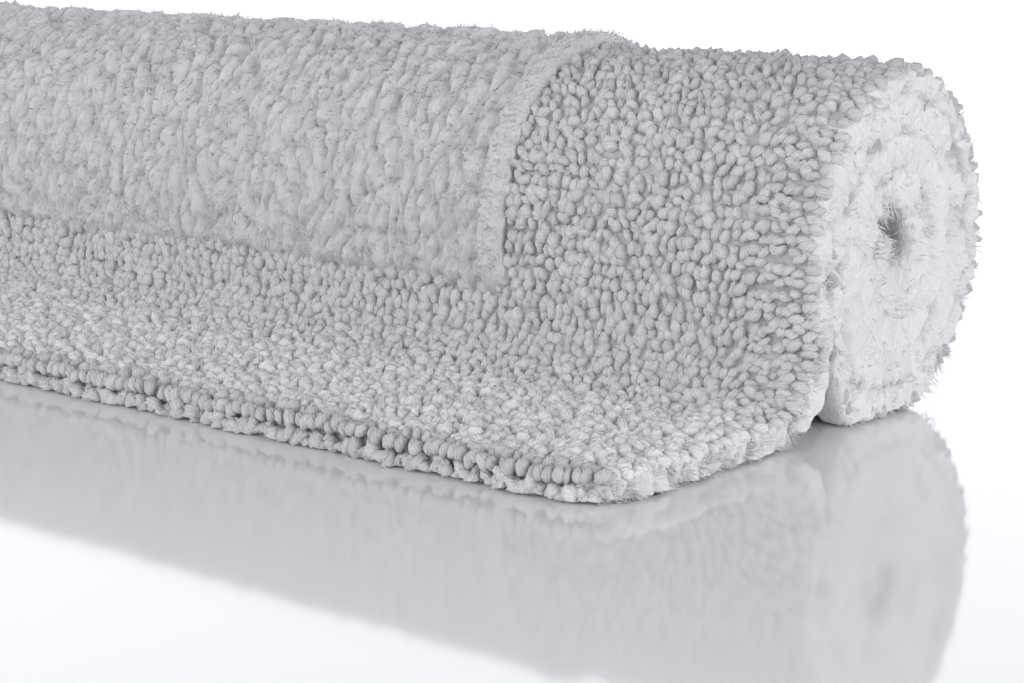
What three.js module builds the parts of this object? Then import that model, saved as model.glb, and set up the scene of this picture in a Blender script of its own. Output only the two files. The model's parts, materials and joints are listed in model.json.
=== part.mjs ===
// A thick white cotton bath mat, rolled up with its free end lying in front of the roll.
// Millimetres, +Z up. X runs along the roll, the free end points to -Y, and the origin is
// the middle of the base of the whole mat's box.
//
// The mat is a woven ground cloth. Its face carries a border of looped pile round a centre
// panel of longer cut pile, its reverse carries short cut pile, and its four edges are
// turned hems held by thread. It is rolled face outwards. What runs along the mat's length is
// in three stretches: wound in the roll, turned in the bend, and lying free in front. The free
// stretch is the one that can be lifted.

import * as THREE from 'three';

// ---- The mat laid out flat ----
const matWidth = 600;
const matLength = 1000;
const borderWidth = 125;
const hemWidth = 10;
const threadWidth = 1;

// ---- Layers through the mat, from the reverse to the face ----
const reversePileHeight = 3.6;
const groundClothThickness = 1;
const loopHeight = 7.4;
const panelProud = 3;
const clearance = 0.3;

// ---- How it is rolled ----
const freeEndLength = 82;
const bendRadius = 22;
const woundPitch = 11;
const coreRadius = 3;
const depthStretch = 0.96;
const heightStretch = 1.133;
const footSink = 5.5;
const footLean = 12;
const footSquash = 0.07;
const coreForward = 9;
const coreRaise = 4;

// ---- How finely the curves are cut ----
const woundStep = THREE.MathUtils.degToRad(12);
const bendSteps = 6;

// ---- Colours ----
const loopWhite = 0xe2e2e6;
const panelWhite = 0xe9e9ed;
const reverseWhite = 0xf0f0f4;
const clothWhite = 0xd2d1cf;
const hemWhite = 0xe6e5e6;
const threadWhite = 0xf2f1ee;

const fullTurn = 2 * Math.PI;
const topAngle = fullTurn / 4;
const backAngle = fullTurn / 2;
const footAngle = fullTurn * 3 / 4;
const matThickness = reversePileHeight + groundClothThickness + loopHeight;

// ---- The roll's size, from the length of mat that is wound into it ----
// Wound mat fills the space between the core and the roll's outside, so the radius follows
// from the length that is left after the free end, the bend and the straight rise above it.
const meanStretch = (depthStretch + heightStretch) / 2;
const bendLength = (bendRadius + matThickness / 2) * fullTurn / 4;
const footTurnShare = footAngle / fullTurn;
const bendTop = matThickness + bendRadius;
const riseOffset = footTurnShare * woundPitch * heightStretch + footSink + bendTop;
const lengthAboveBend = matLength - freeEndLength - bendLength + riseOffset;
const areaPerLength = woundPitch / (Math.PI * meanStretch);
const linearTerm = woundPitch - heightStretch * areaPerLength;
const coreTerm = coreRadius * (coreRadius + woundPitch);
const rollRadius = linearTerm / 2
  + Math.sqrt((linearTerm / 2) ** 2 + coreTerm + lengthAboveBend * areaPerLength);
const rollCentreHeight = (rollRadius - footTurnShare * woundPitch) * heightStretch - footSink;

// A point of the roll's section, on a winding of this radius. The angle starts at the front
// and goes up over the top. The foot is flattened by the mat's own weight and leans forward,
// and the core lies ahead of the middle.
function woundPoint(angle, radius) {
  const inward = 1 - radius / rollRadius;
  const rise = radius * heightStretch * Math.sin(angle);
  const mostDepth = radius * heightStretch * (1 - footSquash * radius / rollRadius);
  const height = Math.max(rise, -mostDepth);
  const depth = Math.max(0, -height);
  const lean = footLean * (depth / rollCentreHeight) ** 2;
  const y = -radius * depthStretch * Math.cos(angle) - coreForward * inward - lean;
  const z = rollCentreHeight + coreRaise * inward + height;
  return new THREE.Vector2(y, Math.max(0, z));
}

function radiusAt(angle) {
  return rollRadius - woundPitch * angle / fullTurn;
}

// How freely the face stands out: wholly from the bend to the back of the outer turn, and
// not at all from the foot inwards, where the mat is pressed.
function freedomAt(angle) {
  return 1 - THREE.MathUtils.smoothstep(angle, backAngle, footAngle - topAngle / 3);
}

// ---- Stations along the mat, each with a point on its reverse and one on its face ----
const stations = [];

function addStation(reverse, face, freedom) {
  const last = stations.at(-1);
  const middle = reverse.clone().lerp(face, 0.5);
  const length = last ? last.length + middle.distanceTo(last.middle) : 0;
  stations.push({ reverse, face, middle, length, freedom });
}

const frontFace = woundPoint(0, rollRadius);
const frontReverse = woundPoint(0, rollRadius - woundPitch + clearance);
const frontThickness = frontReverse.x - frontFace.x;
const bendCentre = new THREE.Vector2(frontFace.x - bendRadius, bendTop);

function flatStation(y) {
  addStation(new THREE.Vector2(y, 0), new THREE.Vector2(y, matThickness), 1);
}

function bendStation(share) {
  const thickness = THREE.MathUtils.lerp(matThickness, frontThickness, share);
  const turn = (share - 1) * fullTurn / 4;
  const direction = new THREE.Vector2(Math.cos(turn), Math.sin(turn));
  const face = bendCentre.clone().addScaledVector(direction, bendRadius);
  const reverse = bendCentre.clone().addScaledVector(direction, bendRadius + thickness);
  reverse.y = Math.max(0, reverse.y);
  addStation(reverse, face, 1);
}

flatStation(bendCentre.x - freeEndLength);
flatStation(bendCentre.x);
for (let step = 1; step <= bendSteps; step += 1) {
  bendStation(step / bendSteps);
}
for (let angle = 0; stations.at(-1).length < matLength; angle += woundStep) {
  const face = woundPoint(angle, radiusAt(angle));
  const reverse = woundPoint(angle, radiusAt(angle + fullTurn) + clearance);
  addStation(reverse, face, freedomAt(angle));
}

// The station at any length from the free end, between its two neighbours.
function stationAt(length) {
  const next = Math.max(1, stations.findIndex((station) => station.length >= length));
  const before = stations[next - 1];
  const after = stations[next];
  const share = (length - before.length) / (after.length - before.length);
  return {
    reverse: before.reverse.clone().lerp(after.reverse, share),
    face: before.face.clone().lerp(after.face, share),
    length,
    freedom: THREE.MathUtils.lerp(before.freedom, after.freedom, share),
  };
}

// A point through the mat at one station: height 0 is the reverse, matThickness the face.
// Where the face stands free, extra height goes on past it.
function pointThrough(station, height, extra) {
  const thickness = station.reverse.distanceTo(station.face);
  const share = height / matThickness + extra * station.freedom / thickness;
  const point = station.reverse.clone().lerp(station.face, share);
  return new THREE.Vector2(point.x, Math.max(0, point.y));
}

const bathMat = new THREE.Group();
const extrudeAlongX = new THREE.Quaternion().setFromAxisAngle(
  new THREE.Vector3(1, 1, 1).normalize(), fullTurn / 3);

// One layer of the mat between two lengths, two heights and two places across its width.
function addLayer({ name, lengths, heights, across, colour, roughness, proud = 0 }) {
  const [start, end] = lengths;
  const between = stations.filter((station) => station.length > start && station.length < end);
  const run = [stationAt(start), ...between, stationAt(end)];
  const lower = run.map((station) => pointThrough(station, heights[0], 0));
  const upper = run.map((station) => pointThrough(station, heights[1], proud));
  const section = new THREE.Shape([...lower, ...upper.reverse()]);
  const width = across[1] - across[0];
  const geometry = new THREE.ExtrudeGeometry(section, { depth: width, bevelEnabled: false });
  const material = new THREE.MeshStandardMaterial({ color: colour, roughness, metalness: 0 });
  const mesh = new THREE.Mesh(geometry, material);
  mesh.name = name;
  mesh.quaternion.copy(extrudeAlongX);
  mesh.position.x = across[0];
  bathMat.add(mesh);
}

// ---- Heights, lengths and places across, shared by the pieces ----
const halfGap = clearance / 2;
const clothBottom = reversePileHeight;
const clothTop = reversePileHeight + groundClothThickness;
const reverseHeights = [0, clothBottom - halfGap];
const clothHeights = [clothBottom + halfGap, clothTop - halfGap];
const hemHeights = [0, clothTop - halfGap];
const pileHeights = [clothTop + halfGap, matThickness];

const halfWidth = matWidth / 2;
const hemInside = halfWidth - hemWidth;
const threadInside = hemInside - clearance - threadWidth;
const clothEdge = threadInside - clearance;
const panelEdge = halfWidth - borderWidth;
const panelStart = borderWidth;
const panelEnd = matLength - borderWidth;

const bendEnd = freeEndLength + bendLength;
const freeRun = [0, freeEndLength - halfGap];
const bendRun = [freeEndLength + halfGap, bendEnd - halfGap];
const rolledRun = [bendEnd + halfGap, matLength];
const threadAtFreeEnd = [hemWidth + clearance, hemWidth + clearance + threadWidth];
const threadAtInnerEnd = [matLength - threadAtFreeEnd[1], matLength - threadAtFreeEnd[0]];
const clothStart = threadAtFreeEnd[1] + clearance;
const clothEnd = threadAtInnerEnd[0] - clearance;
const acrossCloth = [-clothEdge, clothEdge];
const acrossPanel = [-panelEdge + halfGap, panelEdge - halfGap];

const loops = { heights: pileHeights, colour: loopWhite, roughness: 0.95 };
const cloth = { heights: clothHeights, colour: clothWhite, roughness: 0.9 };
const reversePile = { heights: reverseHeights, colour: reverseWhite, roughness: 0.98 };
const hem = { heights: hemHeights, colour: hemWhite, roughness: 0.95 };
const thread = { heights: clothHeights, colour: threadWhite, roughness: 0.8 };

// ---- Ground cloth and reverse pile ----
for (const [place, lengths] of [
  ['rolled', [rolledRun[0], clothEnd]],
  ['bend', bendRun],
  ['free_end', [clothStart, freeRun[1]]],
]) {
  addLayer({ ...cloth, name: `ground_cloth_${place}`, lengths, across: acrossCloth });
  addLayer({ ...reversePile, name: `reverse_pile_${place}`, lengths, across: acrossCloth });
}

// ---- Centre panel of long cut pile ----
addLayer({
  name: 'centre_panel_pile', lengths: [panelStart + halfGap, panelEnd - halfGap],
  heights: pileHeights, across: acrossPanel, colour: panelWhite, roughness: 1, proud: panelProud,
});

// ---- Looped border across both ends of the panel ----
addLayer({
  ...loops, name: 'loop_border_front_free_end', lengths: freeRun, across: acrossPanel,
});
addLayer({
  ...loops, name: 'loop_border_front_bend', lengths: [bendRun[0], panelStart - halfGap],
  across: acrossPanel,
});
addLayer({
  ...loops, name: 'loop_border_inner_end', lengths: [panelEnd + halfGap, matLength],
  across: acrossPanel,
});

// ---- Hems across both ends, with their thread ----
addLayer({ ...hem, name: 'hem_free_end', lengths: [0, hemWidth], across: acrossCloth });
addLayer({
  ...hem, name: 'hem_inner_end', lengths: [matLength - hemWidth, matLength], across: acrossCloth,
});
addLayer({
  ...thread, name: 'hem_thread_free_end', lengths: threadAtFreeEnd, across: acrossCloth,
});
addLayer({
  ...thread, name: 'hem_thread_inner_end', lengths: threadAtInnerEnd, across: acrossCloth,
});

// ---- Both sides: looped border, side hem and its thread ----
function ordered(side, inner, outer) {
  return side > 0 ? [inner, outer] : [-outer, -inner];
}

function addSide(label, side) {
  const acrossBorder = ordered(side, panelEdge + halfGap, halfWidth);
  const acrossHem = ordered(side, hemInside, halfWidth);
  const acrossThread = ordered(side, threadInside, hemInside - clearance);
  for (const [place, lengths] of [['rolled', rolledRun], ['bend', bendRun], ['free_end', freeRun]]) {
    addLayer({ ...loops, name: `loop_border_${label}_${place}`, lengths, across: acrossBorder });
    addLayer({ ...hem, name: `side_hem_${label}_${place}`, lengths, across: acrossHem });
    addLayer({ ...thread, name: `hem_thread_${label}_${place}`, lengths, across: acrossThread });
  }
}

addSide('right', 1);
addSide('left', -1);

// ---- Place the whole mat so that its box stands on the origin ----
bathMat.updateMatrixWorld(true);
const box = new THREE.Box3().setFromObject(bathMat);
bathMat.position.y = -(box.min.y + box.max.y) / 2;

export default bathMat;
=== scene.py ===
"""The look of a rolled cotton bath mat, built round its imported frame.

The mat is described as it lies flat, by a place across it and a length along it from its free
edge, and a height through it from its reverse. Every loop, tuft and strip of cloth is laid out
flat and then carried onto the rolled shape, so that a size changed here changes all of them.
"""

import json
import math

import bpy
import numpy as np
from bpy.props import FloatProperty, FloatVectorProperty, IntProperty, PointerProperty
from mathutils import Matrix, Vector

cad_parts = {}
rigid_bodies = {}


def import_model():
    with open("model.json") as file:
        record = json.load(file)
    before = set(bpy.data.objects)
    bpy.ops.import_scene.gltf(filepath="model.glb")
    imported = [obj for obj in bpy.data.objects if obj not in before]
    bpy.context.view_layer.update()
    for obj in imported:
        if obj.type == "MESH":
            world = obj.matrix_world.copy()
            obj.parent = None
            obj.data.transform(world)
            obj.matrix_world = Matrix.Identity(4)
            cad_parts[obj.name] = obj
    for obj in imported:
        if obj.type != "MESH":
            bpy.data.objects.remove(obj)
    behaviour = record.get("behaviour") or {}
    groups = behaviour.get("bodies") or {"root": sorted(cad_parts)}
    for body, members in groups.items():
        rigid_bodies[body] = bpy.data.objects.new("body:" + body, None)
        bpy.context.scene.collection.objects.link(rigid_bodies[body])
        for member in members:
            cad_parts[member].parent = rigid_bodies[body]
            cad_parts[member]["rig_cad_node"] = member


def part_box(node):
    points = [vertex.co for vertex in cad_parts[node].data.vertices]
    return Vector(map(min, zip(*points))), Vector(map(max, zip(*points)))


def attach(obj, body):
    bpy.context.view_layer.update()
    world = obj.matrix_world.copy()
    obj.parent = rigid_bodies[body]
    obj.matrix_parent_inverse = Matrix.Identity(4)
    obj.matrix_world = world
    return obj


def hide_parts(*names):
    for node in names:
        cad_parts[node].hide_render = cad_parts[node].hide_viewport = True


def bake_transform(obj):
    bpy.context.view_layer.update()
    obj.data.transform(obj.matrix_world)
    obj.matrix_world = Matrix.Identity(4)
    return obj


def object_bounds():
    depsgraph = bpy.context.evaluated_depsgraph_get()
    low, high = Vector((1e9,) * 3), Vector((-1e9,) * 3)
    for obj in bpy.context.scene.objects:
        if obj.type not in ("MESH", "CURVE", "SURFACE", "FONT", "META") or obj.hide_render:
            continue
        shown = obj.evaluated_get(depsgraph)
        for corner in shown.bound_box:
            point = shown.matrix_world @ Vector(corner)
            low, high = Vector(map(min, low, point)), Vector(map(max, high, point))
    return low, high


bl_info = {
    "name": "Rolled bath mat",
    "version": (1, 0, 0),
    "blender": (4, 5, 0),
    "location": "3D View > Sidebar > Bath mat",
    "description": "Lays out the pile, cloth and hems of a rolled cotton bath mat",
    "category": "Add Mesh",
}

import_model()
CAD_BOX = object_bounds()
FULL_TURN = 2 * math.pi
QUARTER_TURN = math.pi / 2
MM = 0.001
WAVE_UNIT = 20  # a wave texture of scale 1 turns through this many radians in each unit
SIDES = (("right", 1), ("left", -1))
DONE = {"FINISHED"}


def middle_line_of_hinge():
    """Where the free end leaves the bend, along Y, halfway between the two CAD cloths."""
    free_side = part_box("ground_cloth_free_end")[1].y
    bend_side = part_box("ground_cloth_bend")[0].y
    return (free_side + bend_side) / 2


HINGE_Y = middle_line_of_hinge()
MAT_WIDTH = CAD_BOX[1].x - CAD_BOX[0].x

# ---- Sizes and colours that a user would change ----------------------------------------------


class MatSizes(bpy.types.PropertyGroup):
    """The mat laid out flat, and the layers through it."""

    width: FloatProperty(
        name="Width", description="Across the mat, along the roll",
        default=MAT_WIDTH, unit="LENGTH",
    )
    length: FloatProperty(
        name="Length", description="From the free edge to the inner edge",
        default=1.0, unit="LENGTH",
    )
    border: FloatProperty(
        name="Border", description="Width of the looped border on all four sides",
        default=0.125, unit="LENGTH",
    )
    reverse_pile: FloatProperty(
        name="Reverse pile", description="Height of the pile on the reverse",
        default=0.0036, unit="LENGTH",
    )
    cloth: FloatProperty(
        name="Ground cloth", description="Thickness of the woven ground cloth",
        default=0.001, unit="LENGTH",
    )
    loops: FloatProperty(
        name="Loop height", description="Height of the loops on the face",
        default=0.0074, unit="LENGTH",
    )
    hem: FloatProperty(
        name="Hem", description="Width of the turned hems", default=0.010, unit="LENGTH",
    )


class RollShape(bpy.types.PropertyGroup):
    """How the mat is rolled up."""

    free_end: FloatProperty(
        name="Free end", description="Length that lies flat in front of the roll",
        default=0.082, unit="LENGTH",
    )
    bend_radius: FloatProperty(
        name="Bend radius", description="Radius of the face in the bend below the roll",
        default=0.022, unit="LENGTH",
    )
    pitch: FloatProperty(
        name="Winding", description="What one layer takes up inside the roll",
        default=0.011, unit="LENGTH",
    )
    core_radius: FloatProperty(
        name="Core", description="Radius of the hole that is left in the middle",
        default=0.003, unit="LENGTH",
    )
    depth_stretch: FloatProperty(
        name="Depth", description="The roll's depth against a round one", default=0.96,
    )
    height_stretch: FloatProperty(
        name="Height", description="The roll's height against a round one", default=1.133,
    )
    foot_sink: FloatProperty(
        name="Foot", description="How far the roll's own weight flattens its foot",
        default=0.0055, unit="LENGTH",
    )
    foot_lean: FloatProperty(
        name="Lean", description="How far the foot is pushed forward",
        default=0.012, unit="LENGTH",
    )
    core_forward: FloatProperty(
        name="Core forward", description="How far the core lies ahead of the middle",
        default=0.009, unit="LENGTH",
    )
    core_raise: FloatProperty(
        name="Core raise", description="How far the core lies above the middle",
        default=0.004, unit="LENGTH",
    )


class PileSettings(bpy.types.PropertyGroup):
    """How close the loops and tufts stand."""

    loop_across: FloatProperty(
        name="Loops across", description="Spacing of the loops across the mat",
        default=0.0034, unit="LENGTH",
    )
    loop_along: FloatProperty(
        name="Loops along", description="Spacing of the loops along the mat",
        default=0.0039, unit="LENGTH",
    )
    fibre_spacing: FloatProperty(
        name="Panel fibres", description="Spacing of the fine locks on the panel's clumps",
        default=0.0030, unit="LENGTH",
    )
    reverse_spacing: FloatProperty(
        name="Reverse tufts", description="Spacing of the reverse side's tufts",
        default=0.0070, unit="LENGTH",
    )
    wisp_spacing: FloatProperty(
        name="Edge wisps", description="Spacing of the wisps along the mat's sides",
        default=0.0022, unit="LENGTH",
    )
    seed: IntProperty(name="Seed", description="Start of the random order", default=7)


class MatColours(bpy.types.PropertyGroup):
    """Colours of the yarns."""

    loop: FloatVectorProperty(
        name="Loops", description="Yarn of the looped border",
        subtype="COLOR", size=3, default=(0.67, 0.67, 0.695),
    )
    panel: FloatVectorProperty(
        name="Panel", description="Yarn of the centre panel",
        subtype="COLOR", size=3, default=(0.675, 0.675, 0.70),
    )
    reverse: FloatVectorProperty(
        name="Reverse", description="Yarn of the reverse and the edges",
        subtype="COLOR", size=3, default=(0.91, 0.91, 0.935),
    )
    root: FloatVectorProperty(
        name="Roots", description="Shaded yarn at the foot of the pile",
        subtype="COLOR", size=3, default=(0.42, 0.41, 0.39),
    )
    # dark warm grey: painted shade, as the white cotton cloth lies in the shaded hollows under the
    # pile
    cloth: FloatVectorProperty(
        name="Ground cloth", description="Woven ground",
        subtype="COLOR", size=3, default=(0.45, 0.44, 0.42),
    )
    floor: FloatVectorProperty(
        name="Floor", description="The plain pale floor",
        subtype="COLOR", size=3, default=(0.97, 0.97, 0.98),
    )


# ---- The rolled shape ---------------------------------------------------------------------------


class RolledShape:
    """The mat's layers, and its section once it is rolled: a point on its reverse and one on its
    face at each length, in Y and Z."""

    ANGLE_STEP = math.radians(2)
    BEND_STEPS = 30
    FREE_END_STEPS = 20
    MOST_TURNS = 6
    TURNS_ABOVE_BEND = 3 / 4
    FOOT_SQUASH = 0.07
    CORNER_RADIUS = 20 * MM
    TANGENT_STEP = 2 * MM

    def __init__(self):
        scene = bpy.context.scene
        self.sizes, self.roll, self.pile = scene.mat_sizes, scene.mat_roll, scene.mat_pile
        self.half_width = self.sizes.width / 2
        self.cloth_bottom = self.sizes.reverse_pile
        self.cloth_top = self.cloth_bottom + self.sizes.cloth
        self.thickness = self.cloth_top + self.sizes.loops
        self.work_out_roll_size()
        self.lay_out_stations()

    def work_out_roll_size(self):
        """The roll's radius, from the length of mat that is left to wind into it."""
        roll = self.roll
        mean_stretch = (roll.depth_stretch + roll.height_stretch) / 2
        bend_length = (roll.bend_radius + self.thickness / 2) * QUARTER_TURN
        bend_top = self.thickness + roll.bend_radius
        rise = self.TURNS_ABOVE_BEND * roll.pitch * roll.height_stretch + roll.foot_sink + bend_top
        above_bend = self.sizes.length - roll.free_end - bend_length + rise
        area_share = roll.pitch / (math.pi * mean_stretch)
        linear = roll.pitch - roll.height_stretch * area_share
        core = roll.core_radius * (roll.core_radius + roll.pitch)
        self.radius = linear / 2 + math.sqrt((linear / 2) ** 2 + core + above_bend * area_share)
        self.centre_height = self.radius - self.TURNS_ABOVE_BEND * roll.pitch
        self.centre_height *= roll.height_stretch
        self.centre_height -= roll.foot_sink
        self.bend_top = bend_top
        self.bend_end = roll.free_end + bend_length

    def wound_point(self, angle, radius):
        """A point of the roll's section. The angle starts at the front and goes up over the top."""
        roll = self.roll
        inward = 1 - radius / self.radius
        rise = radius * roll.height_stretch * np.sin(angle)
        squash = 1 - self.FOOT_SQUASH * radius / self.radius
        height = np.maximum(rise, -radius * roll.height_stretch * squash)
        lean = roll.foot_lean * (np.maximum(0, -height) / self.centre_height) ** 2
        y = -radius * roll.depth_stretch * np.cos(angle) - roll.core_forward * inward - lean
        z = self.centre_height + roll.core_raise * inward + height
        return np.stack([y, np.maximum(0, z)], -1)

    def radius_at(self, angle):
        return self.radius - self.roll.pitch * angle / FULL_TURN

    def lay_out_stations(self):
        roll = self.roll
        angles = np.arange(0, self.MOST_TURNS * FULL_TURN, self.ANGLE_STEP)
        angles = angles[self.radius_at(angles + FULL_TURN) > roll.core_radius / 2]
        wound_face = self.wound_point(angles, self.radius_at(angles))
        wound_reverse = self.wound_point(angles, self.radius_at(angles + FULL_TURN))
        front = wound_face[0, 0]
        front_thickness = wound_reverse[0, 0] - front
        share = np.linspace(0, 1, self.BEND_STEPS)
        turn = (share - 1) * QUARTER_TURN
        direction = np.stack([np.cos(turn), np.sin(turn)], -1)
        centre = np.array([front - roll.bend_radius, self.bend_top])
        thickness = self.thickness + share * (front_thickness - self.thickness)
        bend_face = centre + direction * roll.bend_radius
        bend_reverse = centre + direction * (roll.bend_radius + thickness)[:, None]
        flat_y = np.linspace(centre[0] - roll.free_end, centre[0], self.FREE_END_STEPS)[:-1]
        flat_face = np.stack([flat_y, np.full_like(flat_y, self.thickness)], -1)
        flat_reverse = np.stack([flat_y, np.zeros_like(flat_y)], -1)
        face = np.concatenate([flat_face, bend_face, wound_face])
        reverse = np.concatenate([flat_reverse, bend_reverse, wound_reverse])
        shift = np.array([HINGE_Y - centre[0], 0])
        self.face = face + shift
        self.reverse = np.maximum(reverse + shift, [-np.inf, 0])
        middle = (self.face + self.reverse) / 2
        steps = np.linalg.norm(np.diff(middle, axis=0), axis=1)
        self.lengths = np.concatenate([[0], np.cumsum(steps)])
        self.wound_angles = angles
        self.wound_lengths = self.lengths[len(flat_y) + self.BEND_STEPS:]
        self.inner_end = min(self.sizes.length, self.lengths[-1])

    def length_at_angle(self, degrees):
        return float(np.interp(math.radians(degrees), self.wound_angles, self.wound_lengths))

    def look_up(self, points, at):
        return np.stack([np.interp(at, self.lengths, points[:, k]) for k in (0, 1)], -1)

    def middle_at(self, at):
        return (self.look_up(self.reverse, at) + self.look_up(self.face, at)) / 2

    def section(self, length):
        """Reverse point, face point, outward normal and forward tangent at each length."""
        length = np.asarray(length, float)
        reverse = self.look_up(self.reverse, length)
        face = self.look_up(self.face, length)
        ahead = self.middle_at(length + self.TANGENT_STEP)
        tangent = ahead - self.middle_at(length - self.TANGENT_STEP)
        return reverse, face, unit(face - reverse), unit(tangent)

    def round_corners(self, across, length):
        """Draws the free end's two square corners in to a round."""
        radius = self.CORNER_RADIUS
        out = np.clip((np.abs(across) - self.half_width + radius) / radius, 0, 1)
        fore = np.clip((radius - length) / radius, 0, 1)
        drawn_across = radius * out * (1 - np.sqrt(1 - fore ** 2 / 2))
        drawn_along = radius * fore * (1 - np.sqrt(1 - out ** 2 / 2))
        return across - np.sign(across) * drawn_across, length + drawn_along

    def place(self, across, length, height):
        """Points of the rolled mat, from their place across, along and through the flat one."""
        across, length, height = np.broadcast_arrays(across, length, height)
        across, length = self.round_corners(across, length)
        reverse, face, normal, _ = self.section(length)
        inside = np.clip(height / self.thickness, None, 1)[..., None]
        beyond = np.maximum(0, height - self.thickness)[..., None]
        point = reverse + (face - reverse) * inside + normal * beyond
        point[..., 1] = np.maximum(0, point[..., 1])
        return np.concatenate([across[..., None], point], -1)

    FOOT_ANGLE = 200
    FOOT_RUN = 40 * MM
    FOOT_COVER = 0.55
    HIDDEN_ANGLE = 345
    HIDDEN_RUN = 20 * MM

    def covered_at(self, length):
        """How far the edge's fluff hides the loops: not at all on the outside of the roll, in
        part below its foot, and wholly where they are wound in."""
        hidden = ramp(length, self.length_at_angle(self.HIDDEN_ANGLE), self.HIDDEN_RUN)
        below = ramp(length, self.length_at_angle(self.FOOT_ANGLE), self.FOOT_RUN)
        return np.maximum(hidden, self.FOOT_COVER * below)

    CORE_REACH = 75 * MM
    CORE_RUN = 40 * MM

    def near_core(self, length):
        """Rises to 1 over the last of the mat, round the core."""
        return ramp(length - self.inner_end, -self.CORE_REACH, self.CORE_RUN)


def unit(vectors):
    return vectors / np.linalg.norm(vectors, axis=-1, keepdims=True)


def ramp(value, start, run):
    """0 up to the start and 1 from a run beyond it. A run below nothing goes the other way."""
    return np.clip((value - start) / run, 0, 1)


def bump_at(value, middle, reach):
    """A smooth rise to 1 at the middle."""
    return np.exp(-((value - middle) / reach) ** 2)


RIPPLES = {
    "loops across": (11, 40 * MM),
    "loops along": (12, 45 * MM),
    "locks across": (21, 40 * MM),
    "locks along": (23, 55 * MM),
    "clump drift": (25, 60 * MM),
    "wide clumps": (26, 17 * MM),
    "narrow clumps": (27, 11 * MM),
    "rim": (28, 6 * MM),
    "front edge": (29, 12 * MM),
    "side edge": (30, 8 * MM),
    "wisps": (31, 16 * MM),
    "swells": (51, 30 * MM),
    "grain": (52, 3.5 * MM),
    "waver": (53, 12 * MM),
    "bumps": (54, 8 * MM),
}
WAVES = 7
WAVE_STRETCH = (0.7, 1.6)


def ripple(across, length, field):
    """A smooth random field over the flat mat, from about -1 to 1, each with its own seed and
    wavelength."""
    seed, wavelength = RIPPLES[field]
    order = np.random.default_rng(seed)
    total = np.zeros(np.broadcast(across, length).shape)
    for _ in range(WAVES):
        heading = order.uniform(0, FULL_TURN)
        stretch = order.uniform(*WAVE_STRETCH)
        phase = order.uniform(0, FULL_TURN)
        along = across * math.cos(heading) + length * math.sin(heading)
        total += np.sin(along * FULL_TURN * stretch / wavelength + phase)
    return total / math.sqrt(WAVES)


WIDE_CLUMPS = (1.9, 0.55)
NARROW_CLUMPS = (1.5, 0.7)
CLUMP_SHARES = (0.55, 0.45)
CLUMP_TOP = 1.05


def clumps(across, length):
    """Soft clumps of brushed pile, rounded on top with creases between them, from 0 to 1."""
    drift = ripple(across, length, "clump drift") * 3 * MM
    finer, coarser = WIDE_CLUMPS
    wide = np.abs(ripple((across + drift) * finer, length * coarser, "wide clumps"))
    finer, coarser = NARROW_CLUMPS
    narrow = np.abs(ripple((across - drift) * finer, length * coarser, "narrow clumps"))
    rise = CLUMP_SHARES[0] * np.sqrt(wide) + CLUMP_SHARES[1] * np.sqrt(narrow)
    return np.clip(rise, 0, CLUMP_TOP)


# ---- Shapes that are modelled once --------------------------------------------------------------


def deselect_everything():
    if bpy.context.object and bpy.context.object.mode != "OBJECT":
        bpy.ops.object.mode_set(mode="OBJECT")
    bpy.ops.object.select_all(action="DESELECT")


def edit_all_of_it():
    bpy.ops.object.mode_set(mode="EDIT")
    bpy.ops.mesh.select_all(action="SELECT")


def close_and_leave():
    """Turns a closed shape's faces outwards and leaves edit mode."""
    bpy.ops.mesh.select_all(action="SELECT")
    bpy.ops.mesh.normals_make_consistent(inside=False)
    bpy.ops.object.mode_set(mode="OBJECT")


def points_of(mesh):
    points = np.zeros(len(mesh.vertices) * 3)
    mesh.vertices.foreach_get("co", points)
    return points.reshape(-1, 3)


def taken_shape(made):
    """A modelled shape's points in metres and its faces, after which its object is removed."""
    mesh = made.data
    points = points_of(mesh)
    faces = [tuple(face.vertices) for face in mesh.polygons]
    bpy.data.objects.remove(made)
    bpy.data.meshes.remove(mesh)
    return points, faces


LOOP_SIZE = (2.6, 1.75, 2.8)
LOOP_ARCH = 55.0


def model_yarn_loop():
    """One loop of soft yarn, seen as a plump bean standing on its two feet."""
    deselect_everything()
    bpy.ops.mesh.primitive_uv_sphere_add(segments=7, ring_count=4, radius=1 * MM)
    made = bpy.context.object
    edit_all_of_it()
    bpy.ops.transform.rotate(value=QUARTER_TURN, orient_axis="Y", center_override=(0, 0, 0))
    bpy.ops.transform.resize(value=LOOP_SIZE)
    bpy.ops.object.mode_set(mode="OBJECT")
    points, faces = taken_shape(made)
    points[:, 2] -= LOOP_ARCH * points[:, 0] ** 2
    points[:, 2] -= points[:, 2].min()
    return points, faces


def model_lock(thickness, rise, first_taper, last_taper):
    """One lock of fibres, slim and three-sided, in two lengths of the same rise."""
    deselect_everything()
    bpy.ops.mesh.primitive_circle_add(vertices=3, radius=thickness / 2, fill_type="NGON")
    made = bpy.context.object
    edit_all_of_it()
    for taper in (first_taper, last_taper):
        bpy.ops.mesh.extrude_region_move(TRANSFORM_OT_translate={"value": (0, 0, rise)})
        bpy.ops.transform.resize(value=(taper, taper, 1))
    close_and_leave()
    return taken_shape(made)


def fine_lock():
    """A fine lock of the panel's brushed pile."""
    return model_lock(thickness=0.45 * MM, rise=2.4 * MM, first_taper=1.1, last_taper=0.3)


def wispy_lock():
    """A finer lock that ends in a point."""
    return model_lock(thickness=0.55 * MM, rise=4.2 * MM, first_taper=1.0, last_taper=0.2)


LOCK_LEANS = (0.3, 1.0)
LOCK_LENGTHS = (0.78, 1.12)
LOCK_DROOP = 0.25


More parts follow.
